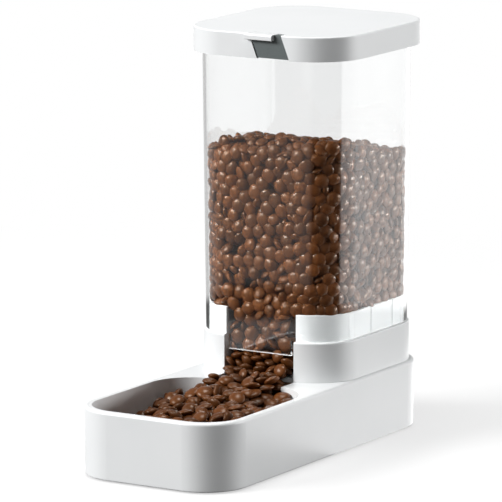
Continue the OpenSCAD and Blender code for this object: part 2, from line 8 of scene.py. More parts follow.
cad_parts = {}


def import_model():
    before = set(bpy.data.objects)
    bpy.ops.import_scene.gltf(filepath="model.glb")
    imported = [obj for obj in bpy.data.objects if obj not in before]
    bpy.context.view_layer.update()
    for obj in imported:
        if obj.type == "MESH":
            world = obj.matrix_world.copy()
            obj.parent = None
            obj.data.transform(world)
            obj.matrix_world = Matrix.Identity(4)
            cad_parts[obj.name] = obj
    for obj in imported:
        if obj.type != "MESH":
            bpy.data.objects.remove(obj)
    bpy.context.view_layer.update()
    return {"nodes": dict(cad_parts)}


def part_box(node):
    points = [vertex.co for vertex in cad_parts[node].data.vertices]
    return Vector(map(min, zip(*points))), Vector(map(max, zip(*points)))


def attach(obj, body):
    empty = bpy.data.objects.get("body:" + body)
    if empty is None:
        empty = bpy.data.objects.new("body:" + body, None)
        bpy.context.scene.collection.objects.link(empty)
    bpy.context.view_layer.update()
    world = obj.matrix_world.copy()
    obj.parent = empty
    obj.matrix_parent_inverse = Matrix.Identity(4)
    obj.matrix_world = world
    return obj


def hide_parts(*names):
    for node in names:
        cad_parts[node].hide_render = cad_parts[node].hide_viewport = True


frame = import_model()
nodes = frame["nodes"]
MM = 0.001

# ---------- sizes, in millimetres with y from the base's front ----------

front_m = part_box("base_shell")[0].y


def box_mm(name):
    lo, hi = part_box(name)
    return (np.array([lo.x, lo.y - front_m, lo.z]) / MM,
            np.array([hi.x, hi.y - front_m, hi.z]) / MM)


def to_model(points):
    """From millimetres with y from the base's front to the frame's metres."""
    p = np.array(points, float)
    p = p * MM
    p[..., 1] += front_m
    return p


tank_lo, tank_hi = box_mm("tank")
feed_hi = box_mm("kibble_feed")[1]

# the clear hopper: its wall leans outwards from its foot
TANK_WALL = 2.0
TANK_LEAN = 2.2 / 203.0
TANK_FOOT_Z = 79.3
TANK_R = 33.0
TANK_FRONT = 155.3
MID_Y = (tank_lo[1] + tank_hi[1]) / 2
TANK_HALF_W = (tank_hi[0] - tank_lo[0]) / 2 - TANK_LEAN * (tank_hi[2] - TANK_FOOT_Z)
TANK_HALF_L = (tank_hi[1] - tank_lo[1]) / 2 - TANK_LEAN * (tank_hi[2] - TANK_FOOT_Z)
TONGUE_Z = tank_lo[2]
TONGUE_HALF = 26.0
NECK_TOP = box_mm("hopper_socket")[1][2]

# the bowl, the channel behind it and the hidden ramp
BOWL_HALF = 58.5
BOWL_FRONT, BOWL_BACK = 5.2, 135.0
BOWL_FRONT_R, BOWL_BACK_R = 27.5, 32.0
BOWL_FLOOR = 10.4
BOWL_RIM = 50.0
CHANNEL_HALF = 30.0
CHANNEL_Z = 39.5
RAMP_SLOPE = 53.6 / 147.3

# the heap, a little flatter than the plain solid that it replaces
HEAP_Z = 43.0
HEAP_CREST_END = TONGUE_Z - 9
HEAP_CREST_BEND = 2.6
HEAP_END = 157.6
HEAP_TAN = math.tan(math.radians(22))
CREST_X, CREST_DRIFT = 4, 21

# the food in the hopper: how far its top falls below FILL_Z, by depth behind the front wall and at the left
FILL_Z = 225.0
FALL_BY_DEPTH = [(-5, 13), (22, 0), (45, 7), (111.5, 21), (138, 22)]
LEFT_FALL, LEFT_FALL_FROM = [15, 1], -18


def crest_z(y):
    t = np.clip((y - BOWL_FRONT) / (HEAP_END - BOWL_FRONT), 0, 1)
    return HEAP_Z + (HEAP_CREST_END - HEAP_Z) * t ** HEAP_CREST_BEND


def crest_x(y):
    t = np.clip((y - BOWL_FRONT) / (BOWL_BACK - BOWL_FRONT), 0, 1)
    return CREST_X - CREST_DRIFT * t


def heap_top(x, y):
    """Height of the heap: level to the right of its crest, and falling to the left."""
    return crest_z(y) - HEAP_TAN * np.maximum(0, crest_x(y) - x)


def hopper_top(x, y):
    """Height of the food in the hopper: a mound that falls to the left wall and to the back."""
    places, falls = zip(*FALL_BY_DEPTH)
    deep = np.interp(y - TANK_FRONT, places, falls)
    side = np.interp(x, [-TANK_HALF_W, LEFT_FALL_FROM], LEFT_FALL)
    return FILL_Z - np.maximum(deep, side)


def ramp_z(y):
    """Height of the channel's floor and the ramp behind it."""
    return CHANNEL_Z + (y - BOWL_BACK) * RAMP_SLOPE


# ---------- material helpers ----------

def blank_material(name):
    """A material with an output node alone."""
    material = bpy.data.materials.new(name)
    material.use_nodes = True
    tree = material.node_tree
    tree.nodes.clear()
    return material, tree, tree.nodes.new("ShaderNodeOutputMaterial")


def new_material(name):
    """A material with a Principled shader on its output."""
    material, tree, out = blank_material(name)
    shader = tree.nodes.new("ShaderNodeBsdfPrincipled")
    tree.links.new(shader.outputs["BSDF"], out.inputs["Surface"])
    return material, tree, shader


def node(tree, kind, **values):
    """A node with its inputs and settings given by name."""
    made = tree.nodes.new(kind)
    for key, value in values.items():
        if key in made.inputs:
            made.inputs[key].default_value = value
        else:
            setattr(made, key, value)
    return made


def noise_in_space(tree, scale, detail=2.0, stretch=(1, 1, 1)):
    coords = node(tree, "ShaderNodeTexCoord")
    mapping = node(tree, "ShaderNodeMapping", Scale=stretch)
    noise = node(tree, "ShaderNodeTexNoise", Scale=scale, Detail=detail, Roughness=0.5)
    tree.links.new(coords.outputs["Object"], mapping.inputs["Vector"])
    tree.links.new(mapping.outputs["Vector"], noise.inputs["Vector"])
    return noise.outputs["Fac"]


def ramp(tree, source, low, high, at=(0.3, 0.7)):
    """A colour that goes from low to high as the source goes between two limits."""
    made = tree.nodes.new("ShaderNodeValToRGB")
    for element, place, colour in zip(made.color_ramp.elements, at, (low, high)):
        element.position = place
        element.color = (*colour, 1)
    tree.links.new(source, made.inputs["Fac"])
    return made.outputs["Color"]


def remap(tree, source, low, high, at=(0.3, 0.7)):
    """A value that goes from low to high as the source goes between two limits."""
    limits = {"From Min": at[0], "From Max": at[1], "To Min": low, "To Max": high}
    made = node(tree, "ShaderNodeMapRange", **limits)
    tree.links.new(source, made.inputs["Value"])
    return made.outputs["Result"]


def bump(tree, source, strength, distance, before=None):
    made = node(tree, "ShaderNodeBump", Strength=strength, Distance=distance)
    tree.links.new(source, made.inputs["Height"])
    if before is not None:
        tree.links.new(before, made.inputs["Normal"])
    return made.outputs["Normal"]


def mix_shader(tree, share, first, second):
    mix = node(tree, "ShaderNodeMixShader")
    tree.links.new(share, mix.inputs["Fac"])
    tree.links.new(first, mix.inputs[1])
    tree.links.new(second, mix.inputs[2])
    return mix.outputs["Shader"]


# ---------- materials ----------

def plastic(name, low, high, rough=(0.3, 0.42)):
    """Moulded plastic: faint tone drift, fine mould grain and the slow waviness of a cooled wall."""
    material, tree, shader = new_material(name)
    drift = noise_in_space(tree, 18, 3)
    fine = noise_in_space(tree, 1400, 2)
    slow = noise_in_space(tree, 34, 1)
    tree.links.new(ramp(tree, drift, low, high), shader.inputs["Base Color"])
    tree.links.new(remap(tree, fine, *rough), shader.inputs["Roughness"])
    wavy = bump(tree, slow, 0.25, 0.0004)
    tree.links.new(bump(tree, fine, 0.12, 0.00004, wavy), shader.inputs["Normal"])
    return material


def clear_plastic():
    """Clear styrene: it bends and mirrors, and lets the lamps through to what is behind it. The tongue's
    lower edge is a band of matt white: it takes real light from the lamps, but it stands there as a painted
    highlight for the light that the edge catches."""
    material, tree, out = blank_material("clear_plastic")
    shader = node(tree, "ShaderNodeBsdfPrincipled", Roughness=0.015, IOR=1.58)
    shader.inputs["Base Color"].default_value = (0.985, 0.99, 0.99, 1)
    shader.inputs["Transmission Weight"].default_value = 1
    slow = noise_in_space(tree, 16, 1, stretch=(1, 1, 0.35))
    tree.links.new(bump(tree, slow, 0.05, 0.0003), shader.inputs["Normal"])
    coords = node(tree, "ShaderNodeTexCoord")
    apart = node(tree, "ShaderNodeSeparateXYZ")
    tree.links.new(coords.outputs["Object"], apart.inputs["Vector"])
    # Painted highlight: the tongue's lowest 0.6 mm is mixed towards matt white, to make a light line along
    # its edge
    lowest = min(v.co.z for v in nodes["tank"].data.vertices)
    edge = remap(tree, apart.outputs["Z"], 0.6, 0.0, (lowest + 0.3 * MM, lowest + 0.6 * MM))
    matt = node(tree, "ShaderNodeBsdfDiffuse", Color=(0.8, 0.8, 0.8, 1))
    wall_with_painted_edge = mix_shader(tree, edge, shader.outputs["BSDF"], matt.outputs["BSDF"])
    path = node(tree, "ShaderNodeLightPath")
    let_through = node(tree, "ShaderNodeBsdfTransparent", Color=(0.8, 0.81, 0.81, 1))
    mixed = mix_shader(tree, path.outputs["Is Shadow Ray"], wall_with_painted_edge, let_through.outputs["BSDF"])
    tree.links.new(mixed, out.inputs["Surface"])
    return material


def food():
    """Coated dry food: every piece has its own brown, with a thin glossy coat over a fine pitted skin."""
    material, tree, shader = new_material("coated_food")
    tone = node(tree, "ShaderNodeAttribute", attribute_name="tone")
    spots = noise_in_space(tree, 260, 3)
    pits = noise_in_space(tree, 900, 2)
    brown = ramp(tree, tone.outputs["Fac"], (0.07, 0.0215, 0.0045), (0.134, 0.042, 0.0095), (0.0, 1.0))
    spotted = node(tree, "ShaderNodeMix", data_type="RGBA", blend_type="MULTIPLY")
    spotted.inputs["Factor"].default_value = 0.35
    tree.links.new(brown, spotted.inputs["A"])
    tree.links.new(ramp(tree, spots, (0.6, 0.55, 0.5), (1, 1, 1)), spotted.inputs["B"])
    tree.links.new(spotted.outputs["Result"], shader.inputs["Base Color"])
    tree.links.new(remap(tree, spots, 0.3, 0.42), shader.inputs["Roughness"])
    spotty = bump(tree, spots, 0.25, 0.0003)
    tree.links.new(bump(tree, pits, 0.12, 0.00008, spotty), shader.inputs["Normal"])
    shader.inputs["Specular IOR Level"].default_value = 0.25
    shader.inputs["Specular Tint"].default_value = (1, 0.78, 0.58, 1)
    shader.inputs["Coat Weight"].default_value = 0.16
    shader.inputs["Coat Roughness"].default_value = 0.07
    return material


def steel():
    """Drawn steel, streaked along the pins."""
    material, tree, shader = new_material("bright_steel")
    fine = noise_in_space(tree, 900, 2, stretch=(0.05, 1, 1))
    tree.links.new(ramp(tree, fine, (0.5, 0.5, 0.51), (0.66, 0.66, 0.67)), shader.inputs["Base Color"])
    tree.links.new(remap(tree, fine, 0.22, 0.4), shader.inputs["Roughness"])
    shader.inputs["Metallic"].default_value = 1
    return material


def rubber(name, low, high):
    material, tree, shader = new_material(name)
    fine = noise_in_space(tree, 1100, 3)
    tree.links.new(ramp(tree, fine, low, high), shader.inputs["Base Color"])
    tree.links.new(remap(tree, fine, 0.6, 0.8), shader.inputs["Roughness"])
    tree.links.new(bump(tree, fine, 0.3, 0.00008), shader.inputs["Normal"])
    return material


WHITE = plastic("white_plastic", (0.80, 0.815, 0.82), (0.83, 0.84, 0.845))
LINER = plastic("liner_plastic", (0.76, 0.77, 0.77), (0.8, 0.81, 0.81), rough=(0.4, 0.5))
# Dark grey for the part in the lid's front notch (lid_catch): the notch's darkness comes from this colour,
# with the recess's rendered shade on top
NOTCH_DARK = plastic("notch_dark_plastic", (0.115, 0.135, 0.135), (0.15, 0.165, 0.165), rough=(0.25, 0.34))
CLEAR = clear_plastic()
FOOD = food()
STEEL = steel()
RUBBER = rubber("foot_rubber", (0.03, 0.03, 0.03), (0.06, 0.06, 0.06))
GASKET = rubber("gasket_silicone", (0.5, 0.51, 0.51), (0.6, 0.61, 0.61))

NODE_MATERIALS = {
    "base_shell": WHITE, "top_tray": WHITE, "hopper_socket": WHITE, "feed_ramp": WHITE,
    "socket_screws": STEEL, "foot_front_left": RUBBER, "foot_front_right": RUBBER,
    "foot_rear_left": RUBBER, "foot_rear_right": RUBBER, "tank": CLEAR, "tank_rim": WHITE,
    "hinge_pin": STEEL, "lid_shell": WHITE, "lid_liner": LINER, "lid_gasket": GASKET,
    "catch_pin": STEEL, "lid_catch": NOTCH_DARK, "catch_tab": WHITE,
    "kibble_hopper": FOOD, "kibble_feed": FOOD, "kibble_bowl": FOOD,
}
for name, material in NODE_MATERIALS.items():
    nodes[name].data.materials.clear()
    nodes[name].data.materials.append(material)


# ---------- one piece of food ----------

# half of its width and of its thickness, their limits, and how much larger it is at the wall and in the bowl
PIECE_R, PIECE_H = 5.1, 2.6
SMALLEST, LARGEST = [4.4, 4.4, 2.2], [5.7, 5.7, 3.3]
WALL_SCALE = np.array([1.12, 1.12, 1.0])
LOOSE_SCALE = np.array([1.2, 1.2, 1.1])
FULL_TURN = 2 * math.pi
rng = np.random.default_rng(7)


def pellet_shape(segments, bands):
    """A unit lentil: rings from pole to pole, with a rim a little sharper than an ellipsoid's."""
    verts = [(0, 0, 1)]
    for band in range(1, bands):
        t = math.pi * band / bands
        c = math.cos(t)
        z = 0.72 * c + 0.28 * c * abs(c)
        for s in range(segments):
            a = 2 * math.pi * (s + 0.5 * (band % 2)) / segments
            verts.append((math.sin(t) * math.cos(a), math.sin(t) * math.sin(a), z))
    verts.append((0, 0, -1))
    last = len(verts) - 1
    low_ring = 1 + (bands - 2) * segments
    faces = []
    for s in range(segments):
        n = (s + 1) % segments
        faces.append((0, 1 + s, 1 + n))
        faces.append((last, low_ring + n, low_ring + s))
        for band in range(bands - 2):
            up = 1 + band * segments
            down = up + segments
            if band % 2 == 0:
                faces += [(up + s, down + s, down + n), (up + s, down + n, up + n)]
            else:
                faces += [(up + s, down + s, up + n), (up + n, down + s, down + n)]
    return np.array(verts, float), np.array(faces, np.int32)


def sizes(count):
    """Half widths and half thickness of a number of pieces."""
    s = np.stack([PIECE_R * rng.normal(1, 0.05, count), PIECE_R * rng.normal(1, 0.05, count),
                  PIECE_H * rng.normal(1, 0.1, count)], 1)
    return np.clip(s, SMALLEST, LARGEST)


def unit_rows(vectors):
    return vectors / np.linalg.norm(vectors, axis=1, keepdims=True)


def axes_from(normal, tilt, turn):
    """Rotations whose third axis is normal leaned by tilt towards a random side."""
    normal = unit_rows(normal)
    helper = np.where(np.abs(normal[:, 2:3]) < 0.9, [[0, 0, 1]], [[1, 0, 0]])
    u = unit_rows(np.cross(helper, normal))
    v = np.cross(normal, u)
    side = u * np.cos(turn)[:, None] + v * np.sin(turn)[:, None]
    third = normal * np.cos(tilt)[:, None] + side * np.sin(tilt)[:, None]
    second = unit_rows(np.cross(third, side))
    return np.stack([np.cross(second, third), second, third], axis=2)


def reach(rotation, size, direction):
    """How far each piece extends from its centre along a direction."""
    local = np.einsum("nij,ni->nj", rotation, direction)
    return np.sqrt(((local * size) ** 2).sum(1))


def food_piece(name, mesh, body):
    """Puts a mesh in the scene as food that rides a body."""
    mesh.materials.append(FOOD)
    obj = bpy.data.objects.new(name, mesh)
    bpy.context.scene.collection.objects.link(obj)
    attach(obj, body)
    return obj


def pellets(name, centres, rotation, size, body, segments=14, bands=7):
    """One mesh of many pieces, with each one's tone stored on its faces."""
    unit, faces = pellet_shape(segments, bands)
    n, m = len(centres), len(unit)
    bend = rng.normal(0, 0.05, (n, 1, 2))
    shape = np.repeat(unit[None], n, 0)
    shape[:, :, :2] *= 1 + bend * shape[:, :, 2:3]
    shape[:, :, 2] += rng.normal(0, 0.05, (n, 1)) * shape[:, :, 0] ** 2
    shape = shape * size[:, None, :]
    placed = np.einsum("nij,nkj->nki", rotation, shape) + centres[:, None, :]
    all_faces = (faces[None] + (np.arange(n) * m)[:, None, None]).reshape(-1, 3)
    mesh = bpy.data.meshes.new(name)
    mesh.vertices.add(n * m)
    mesh.vertices.foreach_set("co", to_model(placed.reshape(-1, 3)).ravel())
    mesh.loops.add(all_faces.size)
    mesh.loops.foreach_set("vertex_index", all_faces.ravel().astype(np.int32))
    mesh.polygons.add(len(all_faces))
    mesh.polygons.foreach_set("loop_start", np.arange(0, all_faces.size, 3, dtype=np.int32))
    mesh.update(calc_edges=True)
    tone = mesh.attributes.new("tone", "FLOAT", "FACE")
    tone.data.foreach_set("value", np.repeat(rng.random(n), len(faces)).astype(np.float32))
    mesh.shade_smooth()
    return food_piece(name, mesh, body)


# ---------- layers of pieces: each is centres, rotations and sizes ----------

def split(layer, test):
    return tuple(part[test] for part in layer)


def join(*layers):
    return tuple(np.concatenate(parts) for parts in zip(*layers))


def relax(points, radius, fit, period=None):
    """Moves points in a plane apart until their circles hardly overlap; fit() keeps them inside."""
    for _ in range(90):
        d = points[:, None, :] - points[None, :, :]
        if period:
            d[..., 0] -= period * np.round(d[..., 0] / period)
        gap = np.sqrt((d ** 2).sum(2)) + 1e-9
        push = np.clip(radius[:, None] + radius[None, :] - gap, 0, None)
        np.fill_diagonal(push, 0)
        points = fit(points + (d / gap[..., None] * push[..., None]).sum(1) * 0.35)
    return points


class Wall:
    """The inside of the hopper's wall, by length around it and height."""

    def __init__(self):
        self.r = TANK_R - TANK_WALL
        self.w = TANK_HALF_W - TANK_WALL
        self.l = TANK_HALF_L - TANK_WALL
        self.sx, self.sy = self.w - self.r, self.l - self.r
        arc = math.pi / 2 * self.r
        self.parts = [("line", 2 * self.sx), ("arc", arc), ("line", 2 * self.sy), ("arc", arc)] * 2
        self.length = sum(length for _, length in self.parts)

    def at(self, s, z):
        """Points and outward normals; s = 0 is the front wall's left end."""
        s = np.mod(s, self.length)
        corner = [(1, -1), (1, 1), (-1, 1), (-1, -1)]
        start = [(-1, -1), (1, -1), (1, 1), (-1, 1)]
        along = [(1, 0), (0, 1), (-1, 0), (0, -1)]
        out = [(0, -1), (1, 0), (0, 1), (-1, 0)]
        p = np.zeros((len(s), 2))
        n = np.zeros((len(s), 2))
        base = 0.0
        for i, (kind, length) in enumerate(self.parts):
            here = (s >= base) & (s < base + length)
            t = s[here] - base
            side = i // 2
            o = np.array(out[side], float)
            a = np.array(along[side], float)
            if kind == "line":
                c = np.array([start[side][0] * self.sx, start[side][1] * self.sy])
                p[here] = c + a * t[:, None] + o * self.r
                n[here] = o
            else:
                c = np.array([corner[side][0] * self.sx, corner[side][1] * self.sy])
                angle = (t / self.r)[:, None]
                d = o * np.cos(angle) + a * np.sin(angle)
                p[here] = c + d * self.r
                n[here] = d
            base += length
        grow = TANK_LEAN * (z - TANK_FOOT_Z)
        p = p + n * grow[:, None]
        point = np.stack([p[:, 0], p[:, 1] + MID_Y, z], 1)
        return point, np.stack([n[:, 0], n[:, 1], np.zeros(len(s))], 1)


wall = Wall()

# a wall layer's lowest and highest centres, the share of its radius that a tipped piece takes up, the gap to
# the wall, and how far some pieces stand back from it
LAYER_LOW, LAYER_HIGH = 62, 232
LAYER_ON_NECK = NECK_TOP + 2.6
TIPPED = 0.84
WALL_GAP = 0.2
STAGGER = 1.6


def wall_layer(count, radius, depth, flat_share):
    """Pieces that lean on the inside of the hopper's wall, or lie a little behind it."""
    tall = LAYER_HIGH - LAYER_LOW
    s = rng.random(count) * wall.length
    z = LAYER_LOW + rng.random(count) * tall
    normal = wall.at(s, z)[1]
    corner = np.minimum(np.abs(normal[:, 0]), np.abs(normal[:, 1])) > 0.1
    flat = rng.random(count) < np.where(corner, 0.5 + flat_share / 2, flat_share)
    r = np.where(flat, radius, radius * TIPPED)

    def lowest(s):
        """Behind the front wall the food goes on down to the outlet."""
        return np.where(s < 2 * wall.sx, LAYER_LOW, LAYER_ON_NECK)

    def fit(p):
        p[:, 0] = np.mod(p[:, 0], wall.length)
        p[:, 1] = np.clip(p[:, 1], lowest(p[:, 0]), LAYER_HIGH)
        return p

    low = lowest(s)
    z = low + (z - LAYER_LOW) * (LAYER_HIGH - low) / tall
    p = relax(np.stack([s, z], 1), r, fit, period=wall.length)
    point, normal = wall.at(p[:, 0], p[:, 1])
    tilt = np.where(flat, np.abs(rng.normal(0, 0.2, count)), rng.uniform(0.5, 1.5, count))
    rotation = axes_from(normal, tilt, rng.uniform(0, FULL_TURN, count))
    size = sizes(count) * WALL_SCALE
    back = rng.uniform(0, 1, count) ** 2 * STAGGER
    away = reach(rotation, size, normal) + WALL_GAP + depth + back
    centres = point - normal * away[:, None]
    under_top = centres[:, 2] < hopper_top(centres[:, 0], centres[:, 1]) - 1.5
    return split((centres, rotation, size), under_top)


def slope_normal(top, x, y):
    """Square to a height field, upwards."""
    rise_x = top(x + 0.5, y) - top(x - 0.5, y)
    rise_y = top(x, y + 0.5) - top(x, y - 0.5)
    return np.stack([-rise_x, -rise_y, np.ones(len(x))], 1)


def surface_layer(count, radius, x_range, y_range, inside, top, drop, tilt, even=False):
    """Pieces that lie on a height field, inside an outline; even ones have their centres on it."""
    start = []
    while len(start) < count:
        p = np.array([rng.uniform(*x_range), rng.uniform(*y_range)])
        if inside(p[None])[0]:
            start.append(p)
    start = np.array(start)

    def fit(p):
        outside = ~inside(p)
        p[outside] = fit.last[outside]
        fit.last = p.copy()
        return p

    fit.last = start.copy()
    p = relax(start, np.full(count, radius), fit)
    z = top(p[:, 0], p[:, 1])
    normal = slope_normal(top, p[:, 0], p[:, 1])
    lean = np.minimum(np.abs(rng.normal(0, tilt, count)), 1.4)
    rotation = axes_from(normal, lean, rng.uniform(0, FULL_TURN, count))
    size = sizes(count)
    rise = 0 if even else reach(rotation, size, np.tile([0.0, 0.0, 1.0], (count, 1)))
    jitter = 0 if even else rng.uniform(-0.8, 1.4, count)
    return np.stack([p[:, 0], p[:, 1], z - rise + jitter - drop], 1), rotation, size


def rounded(p, half_w, y0, y1, r0, r1, inset):
    """True for points inside a rounded rectangle, by at least inset."""
    x = np.abs(p[:, 0])
    y = p[:, 1]
    inside = (x < half_w - inset) & (y > y0 + inset) & (y < y1 - inset)
    for r, cy, sign in ((r0, y0 + r0, -1), (r1, y1 - r1, 1)):
        cx = half_w - r
        corner = (x > cx) & ((y - cy) * sign > 0)
        inside &= ~corner | (np.hypot(x - cx, y - cy) < r - inset)
    return inside


def rounded_bowl(p, inset):
    return rounded(p, BOWL_HALF, BOWL_FRONT, BOWL_BACK, BOWL_FRONT_R, BOWL_BACK_R, inset)


def in_hopper(inset):
    def test(p):
        return rounded(p, wall.w, MID_Y - wall.l, MID_Y + wall.l, wall.r, wall.r, inset)
    return test


def in_bowl(inset):
    """Where the heap stands above the floor, in the bowl and in the channel."""
    def test(p):
        channel = (np.abs(p[:, 0]) < CHANNEL_HALF - 1 - inset) & (p[:, 1] > BOWL_BACK - 20) & (p[:, 1] < 160)
        heaped = heap_top(p[:, 0], p[:, 1]) > BOWL_FLOOR + 1.5
        return (rounded_bowl(p, inset) | channel) & heaped
    return test


# ---------- the food in the hopper ----------

CLEAR_OF_EDGE = 2.5
OPENING_BACK = 175
HOPPER_X, HOPPER_Y = (-56, 56), (158, 284)


def above_neck(layer):
    return layer[0][:, 2] > NECK_TOP + CLEAR_OF_EDGE


def behind_tongue(layer):
    """In the neck's opening, behind the hopper's tongue."""
    c = layer[0]
    below_neck = ~above_neck(layer) & (c[:, 2] > TONGUE_Z + CLEAR_OF_EDGE)
    return below_neck & (np.abs(c[:, 0]) < CHANNEL_HALF - 5) & (c[:, 1] < OPENING_BACK)


front_wall = wall_layer(900, 4.6, 0.0, 0.62)
behind_wall = wall_layer(860, 4.4, 3.4, 0.3)
top_part = surface_layer(230, 4.1, HOPPER_X, HOPPER_Y, in_hopper(4.0), hopper_top, 0.0, 0.45)
under_part = surface_layer(210, 4.2, HOPPER_X, HOPPER_Y, in_hopper(4.5), hopper_top, 4.2, 0.7)
both_walls = join(front_wall, behind_wall)
hopper_part = split(both_walls, above_neck(both_walls))


# ---------- closed shapes: points and faces, in millimetres ----------

# how far the cores lie under the heap's top, inside the hopper's wall and under the food's top there
CORE_DROP = 11.0
CORE_BEHIND_WALL = 9.5
CORE_UNDER_TOP = 8.5
CORE_LOW = NECK_TOP + 6
HEAP_TOE = 9
CHANNEL_CORE_HALF = 27.5
CHANNEL_CORE_LOW = 40.0


def box_shape(lo, hi):
    corners = [(x, y, z) for x in (lo[0], hi[0]) for y in (lo[1], hi[1]) for z in (lo[2], hi[2])]
    quads = [(0, 1, 3, 2), (4, 6, 7, 5), (0, 4, 5, 1), (2, 3, 7, 6), (0, 2, 6, 4), (1, 5, 7, 3)]
    return corners, quads


def lump(x_at, y0, y1, top, low, columns, rows):
    """A closed lump under a height field."""
    tops, lows = [], []
    for y in np.linspace(y0, y1, rows):
        x0, x1 = x_at(y)
        for x in np.linspace(x0, x1, columns):
            tops.append((x, y, max(top(x, y), low + 0.3)))
            lows.append((x, y, low))
    n = len(tops)
    faces = []
    for i in range(rows - 1):
        for j in range(columns - 1):
            a = i * columns + j
            faces.append((a, a + 1, a + columns + 1, a + columns))
            faces.append((n + a, n + a + columns, n + a + columns + 1, n + a + 1))
    edge = ([j for j in range(columns)]
            + [i * columns + columns - 1 for i in range(1, rows)]
            + [(rows - 1) * columns + j for j in range(columns - 2, -1, -1)]
            + [i * columns for i in range(rows - 2, 0, -1)])
    for a, b in zip(edge, edge[1:] + edge[:1]):
        faces.append((b, a, n + a, n + b))
    return tops + lows, faces


def bowl_span(y):
    """The heap's left and right limits across the bowl at a depth."""
    inset = 2.0

    def in_corner(r, past):
        """Half the width where the rounded corner has run on for a length."""
        return BOWL_HALF - r + math.sqrt(max(0, (r - inset) ** 2 - past ** 2))

    front_arc, back_arc = BOWL_FRONT + BOWL_FRONT_R, BOWL_BACK - BOWL_BACK_R
    half = BOWL_HALF - inset
    if y < front_arc:
        half = in_corner(BOWL_FRONT_R, front_arc - y)
    if y > back_arc:
        half = in_corner(BOWL_BACK_R, y - back_arc)
    left = float(crest_x(y) - (crest_z(y) - BOWL_FLOOR - HEAP_TOE) / HEAP_TAN)
    return max(left, -half), half


def channel_span(_):
    return -CHANNEL_CORE_HALF, CHANNEL_CORE_HALF


def bowl_core_top(x, y):
    return float(heap_top(x, y)) - CORE_DROP


def channel_core_top(_, y):
    return float(heap_top(0, min(y, 157.0))) - CORE_DROP


def outlet_core():
    """The food on the ramp, behind the pieces that show: a wedge across the duct."""
    half, near, far, top = feed_hi[0] - 4, 168, feed_hi[1] - 20, feed_hi[2] - 6
    side = [(near, ramp_z(near) + 2), (far, ramp_z(far) + 2), (far, top), (near, top)]
    verts = [(x, y, z) for x in (-half, half) for y, z in side]
    faces = [(0, 1, 2, 3), (7, 6, 5, 4)] + [(i, i + 4, (i + 1) % 4 + 4, (i + 1) % 4) for i in range(4)]
    return verts, faces


def hopper_core():
    """The food further in, where no single piece can be told: a stack of rings inside the wall."""
    around, levels = 96, 15
    s = np.linspace(0, wall.length, around, endpoint=False)
    point, normal = wall.at(s, np.full(around, CORE_LOW))
    ring = point - normal * CORE_BEHIND_WALL
    top = hopper_top(ring[:, 0], ring[:, 1]) - CORE_UNDER_TOP
    verts = []
    for t in np.linspace(0, 1, levels):
        ring[:, 2] = CORE_LOW + (top - CORE_LOW) * t
        verts += [tuple(p) for p in ring]
    faces = []
    for i in range(levels - 1):
        for j in range(around):
            k = (j + 1) % around
            faces.append((i * around + j, i * around + k, (i + 1) * around + k, (i + 1) * around + j))
    faces.append(tuple(range(around - 1, -1, -1)))
    faces.append(tuple(range((levels - 1) * around, levels * around)))
    return verts, faces


bowl_core = lump(bowl_span, BOWL_FRONT + 3, BOWL_BACK - 3, bowl_core_top, BOWL_FLOOR + 0.5, 24, 36)
channel_core = lump(channel_span, BOWL_BACK - 8, 158, channel_core_top, CHANNEL_CORE_LOW, 12, 12)

# ---------- the loose food settles in the bowl, the channel and the outlet ----------

SETTLE_FRAMES = 70
SETTLE_SCALE = 0.1
SETTLE_GRAVITY = (0, 0, -30)
GUARD_HALF, GUARD_LOW, GUARD_TOP = 62, 40, 210
COLLAR_FRONT, BACK_STOP = 153.8, 181.0
COLUMN_LOW, COLUMN_STEP, COLUMN_ROWS = 66, 10.2, 12
COLUMN_Y, COLUMN_HALF = (164.0, 174.6), 23
OUTLET_FROM, DUCT_FROM = 156.5, 164


def add_mesh(name, verts, faces):
    mesh = bpy.data.meshes.new(name)
    mesh.from_pydata([tuple(v) for v in verts], [], [tuple(f) for f in faces])
    mesh.update()
    obj = bpy.data.objects.new(name, mesh)
    bpy.context.scene.collection.objects.link(obj)
    return obj


def enrol(objects, kind):
    """Adds objects to the rigid body world."""
    for obj in bpy.context.selected_objects:
        obj.select_set(False)
    for obj in objects:
        obj.select_set(True)
    bpy.context.view_layer.objects.active = objects[0]
    bpy.ops.rigidbody.objects_add(type=kind)
    for obj in objects:
        obj.select_set(False)
        obj.rigid_body.restitution = 0.0
        obj.rigid_body.use_margin = True
        obj.rigid_body.collision_margin = 0.005
        obj.rigid_body.friction = 0.8


